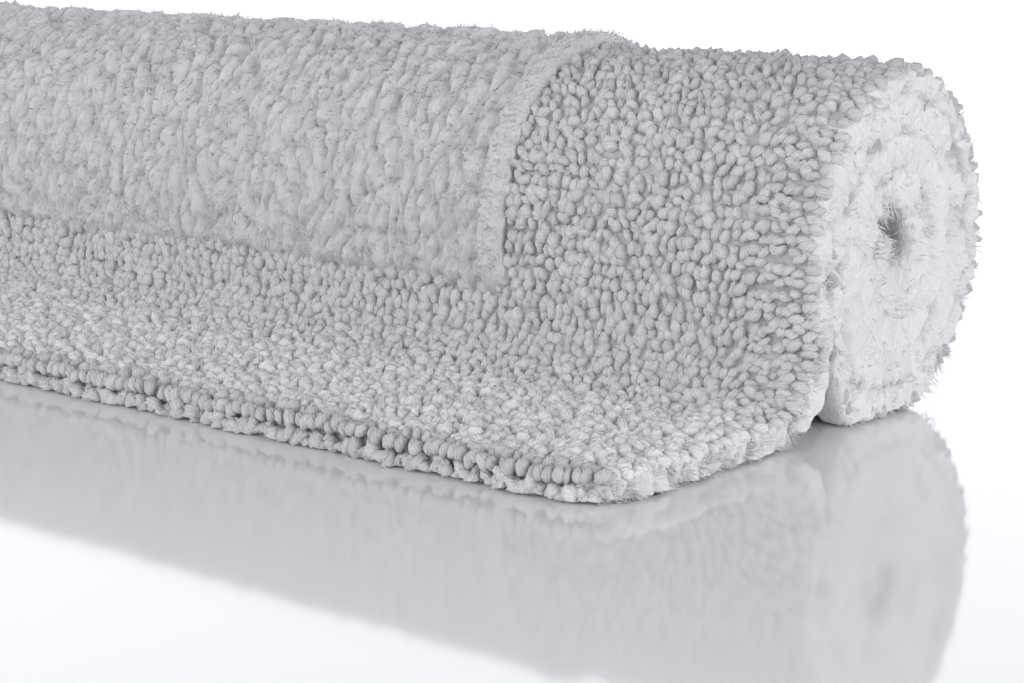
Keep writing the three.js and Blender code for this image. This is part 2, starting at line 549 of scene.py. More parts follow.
def bundle(lock, count, spread, splay, order):
    """Several locks from one root, leaning apart."""
    points, faces = lock
    height = points[:, 2].max()
    share = points[:, 2:] / height
    all_points, all_faces = [], []
    for number in range(count):
        angle = order.uniform(0, FULL_TURN)
        away = spread * math.sqrt(order.uniform(0, 1))
        outward = np.array([math.cos(angle), math.sin(angle), 0.0])
        lean = outward * splay * order.uniform(*LOCK_LEANS)
        scale = order.uniform(*LOCK_LENGTHS)
        bent = points * [1, 1, scale] + outward * away + lean * height * share ** 1.5
        bent[:, 2] -= LOCK_DROOP * height * np.linalg.norm(lean) * share[:, 0] ** 2
        all_points.append(bent)
        start = number * len(points)
        all_faces += [tuple(corner + start for corner in face) for face in faces]
    return np.concatenate(all_points), all_faces


def bundles(kinds, lock, count, spread, splay, order):
    return [bundle(lock, count, spread, splay, order) for _ in range(kinds)]


STRETCHES = (0.85, 1.18)


def varied(shape, count, roughness, order):
    """Copies of a shape, each with its points moved a little."""
    points, faces = shape
    size = points.max(0) - points.min(0)
    made = []
    for _ in range(count):
        stretch = order.uniform(*STRETCHES, 3)
        moved = points * stretch + order.normal(0, 1, points.shape) * size * roughness
        made.append((moved, faces))
    return made


# ---- Laying pile on the mat ---------------------------------------------------------------------


class Pile:
    """Copies of a few modelled shapes, laid on the rolled mat and joined into one mesh."""

    FLOOR_GAP = 0.25 * MM
    PRESSED_SPREAD = 5
    YARN_SHIFT = 40
    ATTRIBUTES = (
        ("yarn", "FLOAT_VECTOR", "vector"), ("lift", "FLOAT", "value"), ("shade", "FLOAT", "value"),
    )

    def __init__(self, shape):
        self.shape = shape
        self.points, self.yarn, self.lift, self.shade = [], [], [], []
        self.face_sizes, self.corners = [], []
        self.count = 0

    def lay(self, kinds, across, length, height, lean, turn, scale, order, side=1,
            outward=None, tone=0):
        """Lays one copy at each place. lean is across and along the mat for each unit of
        height, turn is about the copy's own axis, side is -1 on the reverse, and tone makes the
        yarn paler, or darker below nothing: painted light and painted shade."""
        total = len(across)
        root = self.shape.place(across, length, height)
        _, _, normal, tangent = self.shape.section(length)
        zero = np.zeros(total)
        axis_x = np.stack([zero + 1, zero, zero], -1)
        axis_y = np.stack([zero, tangent[:, 0], tangent[:, 1]], -1) * side
        axis_z = np.stack([zero, normal[:, 0], normal[:, 1]], -1) * side
        basis = np.stack([axis_x, axis_y, axis_z], -1)
        up = unit(np.stack([lean[0], lean[1], zero + 1], -1)) if outward is None else unit(outward)
        flat = unit(np.array([1.0, 0, 0]) - up * up[:, :1])
        sideways = flat * np.cos(turn)[:, None] + np.cross(up, flat) * np.sin(turn)[:, None]
        turned = basis @ np.stack([sideways, np.cross(up, sideways), up], -1)
        choice = order.integers(0, len(kinds), total)
        # random tone, raised by painted light and lowered by painted shade through tone
        shade = order.uniform(0, 1, total) + tone
        shift = order.uniform(-1, 1, (total, 3))
        for kind, (points, faces) in enumerate(kinds):
            rows = np.nonzero(choice == kind)[0]
            if len(rows):
                self.add_copies(points, faces, rows, root, turned, scale, shade, shift)

    def add_copies(self, points, faces, rows, root, turned, scale, shade, shift):
        share = np.clip(points[:, 2] / points[:, 2].max(), 0, 1)
        placed = np.einsum("nij,pj->npi", turned[rows], points) * scale[rows, None, None]
        placed += root[rows, None, :]
        spread = self.PRESSED_SPREAD * np.clip(shade[rows, None], 0, 1) * share[None, :]
        placed[..., 2] = np.maximum(placed[..., 2], self.FLOOR_GAP * (1 + spread))
        per = len(points)
        starts = self.count + per * np.arange(len(rows))
        flat_corners = np.concatenate([np.array(face) for face in faces])
        sizes = np.array([len(face) for face in faces])
        self.corners.append((starts[:, None] + flat_corners[None, :]).ravel())
        self.face_sizes.append(np.tile(sizes, len(rows)))
        self.points.append(placed.reshape(-1, 3))
        yarn = points[None] / MM + shift[rows, None, :] * self.YARN_SHIFT
        self.yarn.append(yarn.reshape(-1, 3))
        self.lift.append(np.tile(share, len(rows)))
        self.shade.append(np.repeat(shade[rows], per))
        self.count += per * len(rows)

    def finish(self, name, material):
        """The joined mesh, with each copy's own coordinates, height and tone as attributes."""
        mesh = bpy.data.meshes.new(name)
        points = np.concatenate(self.points)
        corners = np.concatenate(self.corners)
        sizes = np.concatenate(self.face_sizes)
        mesh.vertices.add(len(points))
        mesh.vertices.foreach_set("co", points.astype(np.float32).ravel())
        mesh.loops.add(len(corners))
        mesh.loops.foreach_set("vertex_index", corners.astype(np.int32))
        mesh.polygons.add(len(sizes))
        starts = np.concatenate([[0], np.cumsum(sizes)[:-1]])
        mesh.polygons.foreach_set("loop_start", starts.astype(np.int32))
        mesh.update(calc_edges=True)
        mesh.polygons.foreach_set("use_smooth", np.ones(len(sizes), bool))
        for key, kind, field in self.ATTRIBUTES:
            values = np.concatenate(getattr(self, key)).astype(np.float32)
            mesh.attributes.new(key, kind, "POINT").data.foreach_set(field, values.ravel())
        mesh.materials.append(material)
        made = bpy.data.objects.new(name, mesh)
        bpy.context.scene.collection.objects.link(made)
        return made


STAGGER = 0.5


def grid_of(across, length, spacing_across, spacing_along, jitter, order):
    """Places of a grid between two edges and two lengths, each a little off its spot."""
    columns = max(1, round((across[1] - across[0]) / spacing_across))
    rows = max(1, round((length[1] - length[0]) / spacing_along))
    column, row = np.meshgrid(np.arange(columns), np.arange(rows))
    offset = STAGGER * (row % 2) - STAGGER / 2
    x = across[0] + (column + 0.5 + offset * 0.5) * (across[1] - across[0]) / columns
    y = length[0] + (row + 0.5) * (length[1] - length[0]) / rows
    x = x + order.uniform(-1, 1, x.shape) * jitter * spacing_across
    y = y + order.uniform(-1, 1, y.shape) * jitter * spacing_along
    return np.clip(x.ravel(), *across), np.clip(y.ravel(), *length)


STEPS_ACROSS = 30
SMOOTH_ANGLE = math.radians(50)


def rolled_slab(
    name, shape, across, lengths, heights, steps_across, step_along, finish, mould=None,
):
    """A closed slab of one layer of the mat, laid out as a grid and then rolled. mould may move
    the flat slab's points first."""
    deselect_everything()
    steps_along = max(2, round((lengths[1] - lengths[0]) / step_along))
    bpy.ops.mesh.primitive_grid_add(
        x_subdivisions=steps_across, y_subdivisions=steps_along, size=2, location=(0, 0, 0),
    )
    made = bpy.context.object
    made.name = made.data.name = name
    edit_all_of_it()
    bpy.ops.mesh.extrude_region_move(TRANSFORM_OT_translate={"value": (0, 0, 1)})
    close_and_leave()
    flat = points_of(made.data)
    x = across[0] + (flat[:, 0] + 1) / 2 * (across[1] - across[0])
    length = lengths[0] + (flat[:, 1] + 1) / 2 * (lengths[1] - lengths[0])
    height = heights[0] + flat[:, 2] * (heights[1] - heights[0])
    if mould:
        x, length, height = mould(x, length, height)
    placed = shape.place(x, length, height)
    made.data.vertices.foreach_set("co", placed.astype(np.float32).ravel())
    made.data.update()
    laid = made.data.attributes.new("laid", "FLOAT_VECTOR", "POINT")
    laid.data.foreach_set("vector", np.stack([x, length, height], -1).astype(np.float32).ravel())
    bpy.ops.object.shade_smooth_by_angle(angle=SMOOTH_ANGLE)
    made.data.materials.clear()
    made.data.materials.append(finish_named(finish))
    return made


def turn_faces_out(made):
    """Turns the faces of a closed piece to point outwards again after it has been mirrored."""
    deselect_everything()
    made.select_set(True)
    bpy.context.view_layer.objects.active = made
    edit_all_of_it()
    bpy.ops.mesh.flip_normals()
    bpy.ops.object.mode_set(mode="OBJECT")


# ---- Finishes -----------------------------------------------------------------------------------


def add_node(tree, kind, inputs=None, **choices):
    """A new node with its choices made and its inputs set, each to a value or to a socket."""
    node = tree.nodes.new(kind)
    for name, value in choices.items():
        setattr(node, name, value)
    fill_inputs(tree, node, inputs or {})
    return node


def fill_inputs(tree, node, inputs):
    for name, value in inputs.items():
        if isinstance(value, bpy.types.NodeSocket):
            tree.links.new(value, node.inputs[name])
        else:
            node.inputs[name].default_value = value


def attribute(tree, name, output="Fac"):
    return add_node(tree, "ShaderNodeAttribute", attribute_name=name).outputs[output]


MIX_SOCKETS = (0, 6, 7)  # a colour mix's factor and its two colours


def mixed(tree, blend, factor, first, second):
    """A colour mix. Each of the two is a colour or a socket."""
    node = add_node(tree, "ShaderNodeMix", data_type="RGBA", blend_type=blend)
    sockets = {}
    for number, value in zip(MIX_SOCKETS, (factor, first, second)):
        sockets[number] = (*value, 1) if isinstance(value, tuple) else value
    fill_inputs(tree, node, sockets)
    return node.outputs[2]


def toned(tree, colour, tone):
    return mixed(tree, "MULTIPLY", 1.0, colour, tone)


def ranged(tree, value, low, high, to_low, to_high):
    inputs = {"Value": value, "From Min": low, "From Max": high, "To Min": to_low, "To Max": to_high}
    return add_node(tree, "ShaderNodeMapRange", inputs).outputs["Result"]


def bands(tree, vector, direction, scale, distortion, **detail):
    inputs = {"Vector": vector, "Scale": scale, "Distortion": distortion}
    inputs.update({name.replace("_", " "): value for name, value in detail.items()})
    node = add_node(
        tree, "ShaderNodeTexWave", inputs, wave_type="BANDS", bands_direction=direction)
    return node.outputs["Fac"]


def mapped(tree, vector, **change):
    node = add_node(tree, "ShaderNodeMapping", {"Vector": vector, **change})
    return node.outputs["Vector"]


def noise(tree, vector, **look):
    return add_node(tree, "ShaderNodeTexNoise", {"Vector": vector, **look}).outputs["Fac"]


class Cotton:
    """A cotton surface, from its bare nodes to its wired colour and relief."""

    SPECULAR = 0.2
    SHEEN_ROUGHNESS = 0.6

    def __init__(self, name, roughness, sheen):
        self.material = bpy.data.materials.new(name)
        self.material.use_nodes = True
        self.tree = self.material.node_tree
        self.surface = self.tree.nodes["Principled BSDF"]
        fill_inputs(self.tree, self.surface, {
            "Roughness": roughness, "Specular IOR Level": self.SPECULAR,
            "Sheen Weight": sheen, "Sheen Roughness": self.SHEEN_ROUGHNESS,
        })

    def coat(self, colour, height, strength, depth):
        relief = {"Strength": strength, "Distance": depth, "Height": height}
        bump = add_node(self.tree, "ShaderNodeBump", relief)
        fill_inputs(self.tree, self.surface, {
            "Base Color": colour, "Normal": bump.outputs["Normal"],
        })
        return self.material


# maps each copy's shade attribute, random tone with painted light and shade added, to a gain on its
# colour
YARN_TONES = (-1.0, 3.0, 0.79, 1.31)
YARN_RISEN = (0.0, 0.6, 0.0, 1.0)
MIDDLE_NOISE = (0.3, 0.7)


def yarn_finish(name, colour, root, twist, period, contrast, relief, sheen):
    """Cotton yarn: fine plies drawn along each loop or lock, a period of so many millimetres
    apart, with painted shade darkening it towards the root, each copy a little different in
    tone, and paler or darker where its tone also carries painted light or shade."""
    cotton = Cotton(name, roughness=0.92, sheen=sheen)
    tree = cotton.tree
    turned = mapped(tree, attribute(tree, "yarn", "Vector"), Rotation=(0.0, 0.0, twist))
    plies = bands(
        tree, turned, "X", FULL_TURN / (WAVE_UNIT * period), distortion=1.6, Detail=3.0,
        Detail_Scale=1.5)
    # painted shade: the yarn runs from the darker root colour at its foot to its own colour higher
    # up
    risen = ranged(tree, attribute(tree, "lift"), *YARN_RISEN)
    body = mixed(tree, "MIX", risen, root, colour)
    # each copy's random tone, with its painted light and painted shade
    tinted = toned(tree, body, ranged(tree, attribute(tree, "shade"), *YARN_TONES))
    line = ranged(tree, plies, 0.0, 1.0, to_low=1 - contrast, to_high=1.02)
    return cotton.coat(toned(tree, tinted, line), plies, strength=relief, depth=0.35 * MM)


def weave_finish(name, colour, threads_per_metre):
    """Plain woven cotton, its threads crossing along and across the mat."""
    cotton = Cotton(name, roughness=0.9, sheen=0.2)
    tree = cotton.tree
    laid = attribute(tree, "laid", "Vector")
    scale = threads_per_metre * FULL_TURN / WAVE_UNIT
    warp, weft = (
        bands(tree, laid, direction, scale, distortion=0.4, Detail=1.0) for direction in "XY")
    crossing = add_node(tree, "ShaderNodeMath", {0: warp, 1: weft}, operation="MULTIPLY")
    crossed = crossing.outputs["Value"]
    tone = ranged(tree, crossed, 0.0, 1.0, to_low=0.8, to_high=1.08)
    return cotton.coat(toned(tree, colour, tone), crossed, strength=0.6, depth=0.4 * MM)


def bed_finish(name, colour):
    """The matted foot of the pile, seen only between loops and tufts; the darker colour it is given
    is painted shade.
    """
    cotton = Cotton(name, roughness=0.95, sheen=0.1)
    tree = cotton.tree
    place = add_node(tree, "ShaderNodeTexCoord").outputs["Object"]
    matted = noise(tree, place, Scale=420.0, Detail=4.0)
    tone = ranged(tree, matted, *MIDDLE_NOISE, to_low=0.75, to_high=1.1)
    return cotton.coat(toned(tree, colour, tone), matted, strength=0.8, depth=1.0 * MM)


def plush_finish(name, colour, fineness, crease=None, crest=None):
    """Brushed pile: fine streaks of fibres, drawn out along the direction of least fineness, and
    painted darker at the height of a crease than at a crest's: painted shade in the creases and
    painted light on the crests."""
    cotton = Cotton(name, roughness=0.95, sheen=0.4)
    tree = cotton.tree
    laid = attribute(tree, "laid", "Vector")
    drawn_out = mapped(tree, laid, Scale=fineness)
    streaks = noise(tree, drawn_out, Scale=1.0, Detail=3.0, Distortion=1.4)
    tone = ranged(tree, streaks, *MIDDLE_NOISE, to_low=0.88, to_high=1.06)
    tinted = toned(tree, colour, tone)
    # painted shade and light: darker low in the creases, paler up on the crests
    if crease is not None:
        parts = add_node(tree, "ShaderNodeSeparateXYZ", {"Vector": laid})
        depth = ranged(tree, parts.outputs["Z"], crease, crest, to_low=0.78, to_high=1.06)
        tinted = toned(tree, tinted, depth)
    return cotton.coat(tinted, streaks, strength=0.8, depth=0.7 * MM)


def between(first, second, share):
    return tuple(a + (b - a) * share for a, b in zip(first, second))


# share of the yarn's own colour in its root colour: only a little painted shade at the foot of the
# pile
PALE_ROOT = 0.93
CREST = 2 * MM


def make_finish(name):
    colours = bpy.context.scene.mat_colours
    root, loop, panel = tuple(colours.root), tuple(colours.loop), tuple(colours.panel)
    reverse, cloth = tuple(colours.reverse), tuple(colours.cloth)
    # a yarn's root colour lies between the shaded root colour and its own: painted shade at the foot
    # of the pile, deep on the loops
    if name == "looped yarn":
        return yarn_finish(
            name, loop, between(root, loop, share=0.3), twist=1.05, period=1.0, contrast=0.10,
            relief=0.6, sheen=0.25)
    if name == "panel yarn":
        return yarn_finish(
            name, panel, between(root, panel, PALE_ROOT), twist=0.5, period=0.7, contrast=0.05,
            relief=0.3, sheen=0.4)
    if name == "reverse yarn":
        return yarn_finish(
            name, reverse, between(root, reverse, PALE_ROOT), twist=0.5, period=0.7,
            contrast=0.06, relief=0.4, sheen=0.4)
    # the ground cloth's colour is painted shade, and the hem cloth takes part of it
    if name == "woven ground":
        return weave_finish(name, cloth, threads_per_metre=900)
    if name == "hem cloth":
        return weave_finish(name, between(cloth, reverse, share=0.6), threads_per_metre=900)
    if name == "sewing thread":
        return weave_finish(name, reverse, threads_per_metre=2500)
    # the beds are darker than their yarn: painted shade between the loops and tufts
    if name == "shaded loop bed":
        return bed_finish(name, between(root, loop, share=0.5))
    if name == "shaded reverse bed":
        return bed_finish(name, between(root, reverse, share=0.6))
    if name == "edge fluff":
        return plush_finish(
            name, between(root, reverse, PALE_ROOT), fineness=(500.0, 2000.0, 350.0))
    # the crease and crest heights set where the brushed pile's painted shade and light fall
    if name == "brushed pile":
        top = RolledShape().thickness
        return plush_finish(
            name, panel, fineness=(2400.0, 420.0, 420.0), crease=top - CREST, crest=top + CREST)
    raise ValueError(f"no finish is named {name}")


def finish_named(name):
    """Each finish is made once and shared by the pieces that have it."""
    return bpy.data.materials.get(name) or make_finish(name)


# ---- The mat's pieces ---------------------------------------------------------------------------


def ride_roll(piece, slot, *nodes):
    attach(piece, "roll")
    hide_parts(*nodes)


def bend_with_free_end(piece, slot, *nodes):
    """The piece stays where it lies, its place baked into its points, and the CAD nodes it stands
    for are hidden.
    """
    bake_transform(piece)
    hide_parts(*nodes)


def all_three(kind):
    """The CAD nodes of a layer that runs from the roll into the free end."""
    return [f"{kind}_{place}" for place in ("rolled", "bend", "free_end")]


class MAT_OT_ground_cloth(bpy.types.Operator):
    """Weaves the ground cloth and rolls it up"""

    bl_idname = "bath_mat.ground_cloth"
    bl_label = "Ground cloth"

    SIDE_INSET = 1 * MM
    FRONT_INSET = 3.4 * MM
    STEP_ALONG = 5 * MM

    def execute(self, context):
        shape = RolledShape()
        half = shape.half_width - self.SIDE_INSET
        made = rolled_slab(
            "ground_cloth", shape, (-half, half), (self.FRONT_INSET, shape.inner_end),
            (shape.cloth_bottom, shape.cloth_top), STEPS_ACROSS, self.STEP_ALONG, "woven ground")
        bend_with_free_end(made, "ground_cloth", *all_three("ground_cloth"))
        return DONE


class MAT_OT_pile_beds(bpy.types.Operator):
    """Lays the matted foot of the pile on both faces, wound in where it doesn't show"""

    bl_idname = "bath_mat.pile_beds"
    bl_label = "Pile beds"

    SIDE_INSET = 2.5 * MM
    END_INSETS = (4 * MM, 1 * MM)
    SEEN_TO_ANGLE = 375
    LOW_BED = 0.58
    WOUND_GAP = 0.8 * MM
    OFF_FLOOR = 1.2 * MM

    def execute(self, context):
        shape = RolledShape()
        half = shape.half_width - self.SIDE_INSET
        start, end = self.END_INSETS[0], shape.inner_end - self.END_INSETS[1]
        outer_turn = shape.length_at_angle(self.SEEN_TO_ANGLE)
        low_bed = shape.cloth_top + self.LOW_BED * shape.sizes.loops
        # the bed under the loops is darker than them: painted shade in the gaps between the loops
        face_low = rolled_slab(
            "face_pile_bed_outside", shape, (-half, half), (start, outer_turn),
            (shape.cloth_top, low_bed), STEPS_ACROSS, step_along=2.5 * MM,
            finish="shaded loop bed")
        bend_with_free_end(face_low, "loop_pile")
        face_wound = rolled_slab(
            "face_pile_bed_wound", shape, (-half, half), (outer_turn, end),
            (shape.cloth_top, shape.thickness - self.WOUND_GAP), STEPS_ACROSS,
            step_along=3.5 * MM, finish="shaded reverse bed")
        ride_roll(face_wound, "loop_pile", "loop_border_inner_end")
        # the reverse bed is darker than the reverse tufts: painted shade under them
        reverse_bed = rolled_slab(
            "reverse_pile_bed", shape, (-half, half), (start, end),
            (self.OFF_FLOOR, shape.cloth_bottom), STEPS_ACROSS, step_along=4 * MM,
            finish="shaded reverse bed")
        bend_with_free_end(reverse_bed, "reverse_pile", *all_three("reverse_pile"))
        return DONE


class MAT_OT_border_loops(bpy.types.Operator):
    """Sets the loops of the border: both sides and the front"""

    bl_idname = "bath_mat.border_loops"
    bl_label = "Border loops"

    KINDS = 10
    ROUGHNESS = 0.045
    JITTER = 0.2
    SPLIT_AHEAD = 6 * MM
    SEEN_TO_ANGLE = 368
    SIDE_INSET = 0.5 * MM
    FRONT_OVERLAPS = (1 * MM, 3 * MM)
    LEAN_SPREAD = 0.26
    LEAN_DRIFT = 0.25
    SIDE_LEAN = 0.6
    OUTER_LEAN = 0.9
    DOWNWARD = 0.12
    TURN_SPREAD = 0.75
    SIDE_TURN_SPREAD = 0.4
    FRONT_TURN_SPREAD = 0.3
    FRONT_LEAN = 0.9
    # painted shade: the front rows of loops are made darker
    FRONT_TONE = -0.4
    SIDE_ZONE = 34 * MM
    SIDE_RUN = 20 * MM
    OUTER_ROWS = 6 * MM
    ROW_REACH = 22 * MM
    FRONT_ROW = 5 * MM
    PLAIN_FRONT = 7 * MM
    SIZES = (0.88, 1.1)
    ROOTS = (1.0, 2.4)
    # painted light: the loops of the flat free end are made paler
    FREE_END_PAINTED_LIGHT = 2.4
    PAINTED_LIGHT_BEYOND = 16 * MM
    PAINTED_LIGHT_RUN = 22 * MM
    # painted shade: the loops from the top of the roll on are made darker
    TOP_PAINTED_SHADE = 0.9
    TOP_SHADE_ANGLE = 40
    TOP_SHADE_RUN = 40 * MM

    def execute(self, context):
        shape = RolledShape()
        order = np.random.default_rng(shape.pile.seed)
        kinds = varied(model_yarn_loop(), self.KINDS, self.ROUGHNESS, order)
        half = shape.half_width
        panel = half - shape.sizes.border
        split = shape.bend_end - self.SPLIT_AHEAD
        outer_turn = shape.length_at_angle(self.SEEN_TO_ANGLE)
        for label, side in SIDES:
            edges = sorted((side * panel, side * (half - self.SIDE_INSET)))
            border = f"loop_border_{label}"
            rolled = self.loops_between(
                f"{border}_rolled_loops", shape, edges, (split, outer_turn), kinds, order)
            ride_roll(rolled, "loop_pile", f"{border}_rolled")
            free_end = self.loops_between(
                f"{border}_free_end_loops", shape, edges, (0, split), kinds, order)
            bend_with_free_end(free_end, "loop_pile", f"{border}_bend", f"{border}_free_end")
        beside, beyond = self.FRONT_OVERLAPS
        front = self.loops_between(
            "loop_border_front_loops", shape, (-panel - beside, panel + beside),
            (0, shape.sizes.border + beyond), kinds, order)
        bend_with_free_end(
            front, "loop_pile", "loop_border_front_bend", "loop_border_front_free_end")
        return DONE

    def loops_between(self, name, shape, edges, lengths, kinds, order):
        pile = shape.pile
        across, length = grid_of(
            edges, lengths, pile.loop_across, pile.loop_along, self.JITTER, order)
        total = len(across)
        inside = shape.half_width - np.abs(across)
        sideways = self.SIDE_LEAN * np.clip(1 - inside / self.SIDE_ZONE, 0, 1)
        sideways = sideways + self.OUTER_LEAN * np.clip(1 - inside / self.OUTER_ROWS, 0, 1)
        drift = ripple(across, length, "loops across") * self.LEAN_DRIFT
        lean_across = np.sign(across) * sideways + drift + order.normal(0, self.LEAN_SPREAD, total)
        lean_along = ripple(across, length, "loops along") * self.LEAN_DRIFT
        lean_along = lean_along + order.normal(0, self.LEAN_SPREAD, total) - self.DOWNWARD
        in_rows = bump_at(length, shape.bend_end, self.ROW_REACH)
        spread = self.TURN_SPREAD * (1 - self.TURN_SPREAD * in_rows)
        turn = QUARTER_TURN + order.normal(0, 1, total) * spread
        at_side = ramp(np.abs(across) - shape.half_width, -self.SIDE_ZONE, self.SIDE_RUN)
        turn = turn * (1 - at_side) + at_side * order.normal(0, self.SIDE_TURN_SPREAD, total)
        in_front = length < self.FRONT_ROW
        front_turn = QUARTER_TURN + order.normal(0, self.FRONT_TURN_SPREAD, total)
        turn = np.where(in_front, front_turn, turn)
        lean_along = np.where(in_front, lean_along - self.FRONT_LEAN, lean_along)
        scale = order.uniform(*self.SIZES, total)
        root = shape.cloth_top + order.uniform(*self.ROOTS, total) * MM
        # painted light: the free end's loops are made paler
        painted_light_start = shape.roll.free_end + self.PAINTED_LIGHT_BEYOND
        painted_light_and_shade = self.FREE_END_PAINTED_LIGHT * ramp(length, painted_light_start, -self.PAINTED_LIGHT_RUN)
        # painted shade: the front rows are made darker
        painted_light_and_shade = np.where(length < self.PLAIN_FRONT, self.FRONT_TONE, painted_light_and_shade)
        # painted shade: the loops over the top and back of the roll are made darker
        top_shade_start = shape.length_at_angle(self.TOP_SHADE_ANGLE)
        top_shade = self.TOP_PAINTED_SHADE * ramp(length, top_shade_start, self.TOP_SHADE_RUN)
        laid = Pile(shape)
        laid.lay(
            kinds, across, length, root, (lean_across, lean_along), turn, scale, order,
            tone=painted_light_and_shade - top_shade)
        return laid.finish(name, finish_named("looped yarn"))


class MAT_OT_panel_pile(bpy.types.Operator):
    """Raises the brushed pile of the centre panel in soft clumps and lays its fine locks on it"""

    bl_idname = "bath_mat.panel_pile"
    bl_label = "Panel pile"

    PARTS = ("front", "top", "back", "foot")
    END_ANGLE = 318
    KINDS = 14
    RIM_WIDTH = 10 * MM
    RIM_RISE = 3.8 * MM
    RIM_RUN = 3 * MM
    RIM_BUMPS = 0.5
    LEAST_BOW = 0.05
    BESIDE_RIM = 2 * MM
    GROOVE = 1.2 * MM
    GROOVE_REACH = 2.5 * MM
    CLUMP_LOW = -3.0 * MM
    CLUMP_RISE = 6.4 * MM
    PRESSED_ANGLE = 215
    PRESSED_RUN = 25 * MM
    PRESSED = 0.6
    FRONT_RUN = 6 * MM
    FRONT_STEP = 0.1
    HANG = 1.5
    BULGE = 1.3
    BULGE_RIPPLE = 0.8
    HANG_RUN = 8 * MM
    SIDE_RUN = 3 * MM
    COLUMNS = 262
    STEP_ALONG = 1.5 * MM
    LOCK_JITTER = 0.45
    LOCK_SIZES = (0.5, 0.8)
    LEAN_SPREAD = 0.3
    FALL_SPREAD = 0.35
    FRONT_FALL = 1.6
    LOCK_SINK = 0.6 * MM
    RIM_LOCK_SINK = 0.5 * MM
    RIM_LOCK_SIZES = (0.5, 0.75)
    RIM_LOCK_SPACING = 0.6
    # the rim's locks are made paler: painted light on the raised rim
    RIM_TONE = 2.3

    def execute(self, context):
        shape = RolledShape()
        order = np.random.default_rng(shape.pile.seed + 1)
        kinds = bundles(
            self.KINDS, fine_lock(), count=3, spread=1.4 * MM, splay=0.5, order=order)
        end = shape.length_at_angle(self.END_ANGLE)
        cuts = np.linspace(shape.sizes.border, end, len(self.PARTS) + 1)
        for label, low, high in zip(self.PARTS, cuts[:-1], cuts[1:]):
            clumped = self.clumps_between(f"centre_panel_clumps_{label}", shape, (low, high))
            nodes = ("centre_panel_pile",) if label == "front" else ()
            ride_roll(clumped, "panel_pile", *nodes)
            locks = self.locks_between(
                f"centre_panel_locks_{label}", shape, (low, high), kinds, order)
            ride_roll(locks, "panel_pile")
        return DONE

    def on_rim(self, inside):
        """1 on the smooth rim along the panel's sides and 0 in from it."""
        return 1 - np.clip((inside - self.RIM_WIDTH) / self.RIM_RUN + 0.5, 0, 1)

    def half_panel(self, shape):
        return shape.half_width - shape.sizes.border

    def surface(self, shape, across, length):
        """Height of the pile: clumps, a smooth raised rim along both sides, and a round front."""
        inside = self.half_panel(shape) - np.abs(across)
        rim = self.on_rim(inside)
        bow = 1 - (2 * np.clip(inside / self.RIM_WIDTH, 0, 1) - 1) ** 2
        rise = rim * (self.RIM_RISE * np.sqrt(np.clip(bow, self.LEAST_BOW, 1)))
        rise = rise + rim * self.RIM_BUMPS * MM * ripple(across, length, "rim")
        field = self.CLUMP_LOW + self.CLUMP_RISE * clumps(across, length)
        beside_rim = bump_at(inside - self.RIM_WIDTH, self.BESIDE_RIM, self.GROOVE_REACH)
        rise = rise + (1 - rim) * (field - self.GROOVE * beside_rim)
        pressed = ramp(length, shape.length_at_angle(self.PRESSED_ANGLE), self.PRESSED_RUN)
        height = shape.sizes.loops + rise * (1 - self.PRESSED * pressed)
        fall = np.sqrt(np.clip((length - shape.sizes.border) / self.FRONT_RUN, self.FRONT_STEP, 1))
        return shape.cloth_top + height * fall

    def clumps_between(self, name, shape, lengths):
        sizes, cloth_top = shape.sizes, shape.cloth_top
        half = self.half_panel(shape)

        def mould(x, length, height):
            lifted = (height - cloth_top) / sizes.loops
            edge = np.clip(1 - (half - np.abs(x)) / self.SIDE_RUN, 0, 1)
            height = cloth_top + lifted * (self.surface(shape, x, length) - cloth_top)
            front = np.clip(1 - (length - sizes.border) / self.HANG_RUN, 0, 1)
            hanging = (self.HANG + self.HANG * ripple(x, x * 0, "front edge")) * MM
            bulge = (self.BULGE + self.BULGE_RIPPLE * ripple(x * 0, length, "side edge")) * MM
            x = x + np.sign(x) * edge * lifted * bulge
            return x, length - lifted * front * hanging, height

        return rolled_slab(
            name, shape, (-half, half), lengths, (cloth_top, cloth_top + sizes.loops),
            self.COLUMNS, self.STEP_ALONG, "brushed pile", mould)

    def locks_between(self, name, shape, lengths, kinds, order):
        half = self.half_panel(shape)
        spacing = shape.pile.fibre_spacing
        across, length = grid_of(
            (-half, half), lengths, spacing, spacing, self.LOCK_JITTER, order)
        total = len(across)
        inside = half - np.abs(across)
        rim = self.on_rim(inside)
        lean_across = ripple(across, length, "locks across") * 0.7
        lean_across = lean_across + order.normal(0, self.LEAN_SPREAD, total)
        lean_along = ripple(across, length, "locks along") * 0.5 - 1.0
        lean_along = lean_along + order.normal(0, self.FALL_SPREAD, total)
        outward = np.sign(across) * (0.5 + 1.6 * np.clip(1 - inside / self.RIM_WIDTH, 0, 1))
        lean_across = lean_across * (1 - rim) + outward * rim
        lean_along = lean_along * (1 - 0.8 * rim)
        front = np.clip(1.2 - (length - shape.sizes.border) / self.HANG_RUN, 0, 1)
        lean_along = lean_along * (1 - front) - self.FRONT_FALL * front
        scale = order.uniform(*self.LOCK_SIZES, total)
        surface = self.surface(shape, across, length)
        # painted shade and light: locks rooted low in a crease are darker, those high on a crest
        # paler
        depth = np.clip((surface - shape.thickness) / CREST, -1, 1)
        laid = Pile(shape)
        laid.lay(
            kinds, across, length, surface - self.LOCK_SINK, (lean_across, lean_along),
            order.uniform(0, FULL_TURN, total), scale, order, tone=depth * (1 - rim))
        for _, side in SIDES:
            self.comb_rim(laid, shape, side, lengths, kinds, order)
        return laid.finish(name, finish_named("panel yarn"))

